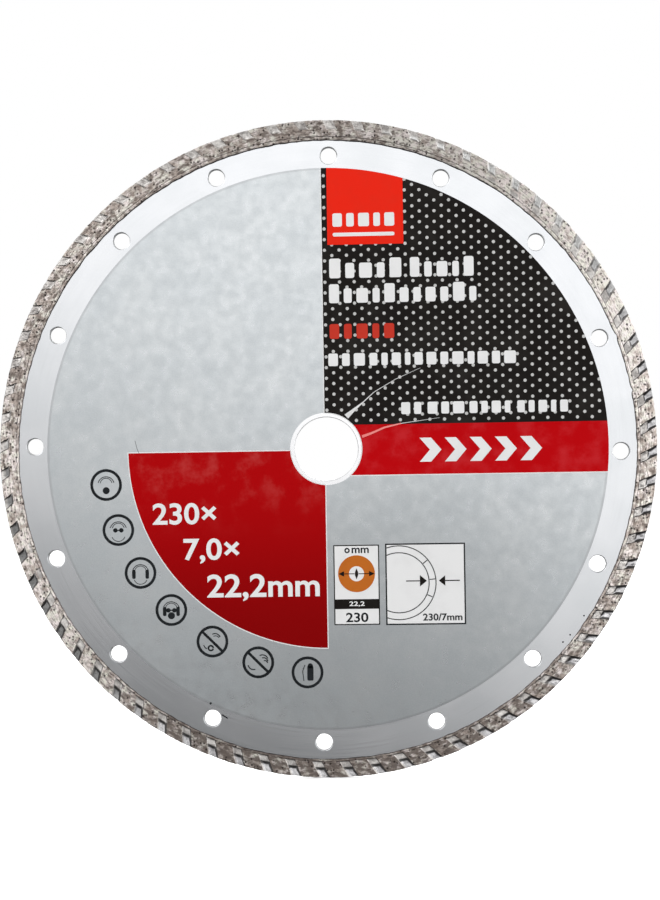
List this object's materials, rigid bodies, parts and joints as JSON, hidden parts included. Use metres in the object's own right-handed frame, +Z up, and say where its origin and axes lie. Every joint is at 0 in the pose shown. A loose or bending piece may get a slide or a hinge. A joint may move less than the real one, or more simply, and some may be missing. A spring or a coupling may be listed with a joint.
{
  "type": "diamond cutting blade",
  "caption": "Round diamond cutting blade: thin steel disc with a central bore, cooling holes, a grooved sintered rim and a printed front face.",
  "frame": {"origin": "centre of the bore, half way through the blade's thickness", "axes": "the blade stands on its edge: +Y along the spin axis from the printed face to the back, +Z up to the top of the print, +X to the right as seen from the printed face"},
  "size_m": [0.23, 0.0028, 0.23],
  "materials": {
    "bare_steel": "ground steel with fine circular marks",
    "bond_metal": "matt sintered metal without diamonds",
    "sintered_rim": "grainy sintered metal with dark specks of diamond",
    "silver_lacquer": "satin silver lacquer",
    "black_ink": "satin black ink",
    "bright_red_ink": "satin orange-red ink",
    "red_ink": "satin red ink",
    "dark_red_ink": "satin dark red ink",
    "white_ink": "satin white ink"
  },
  "bodies": {
    "root": {"steel_core": "bare_steel", "bond_ring": "bond_metal", "diamond_rim": "sintered_rim", "print_silver_field": "silver_lacquer", "print_black_field": "black_ink", "print_red_square": "bright_red_ink", "print_red_band": "red_ink", "print_dark_red_quarter": "dark_red_ink", "print_bore_panel": "white_ink", "print_rim_panel": "white_ink"}
  },
  "joints": []
}
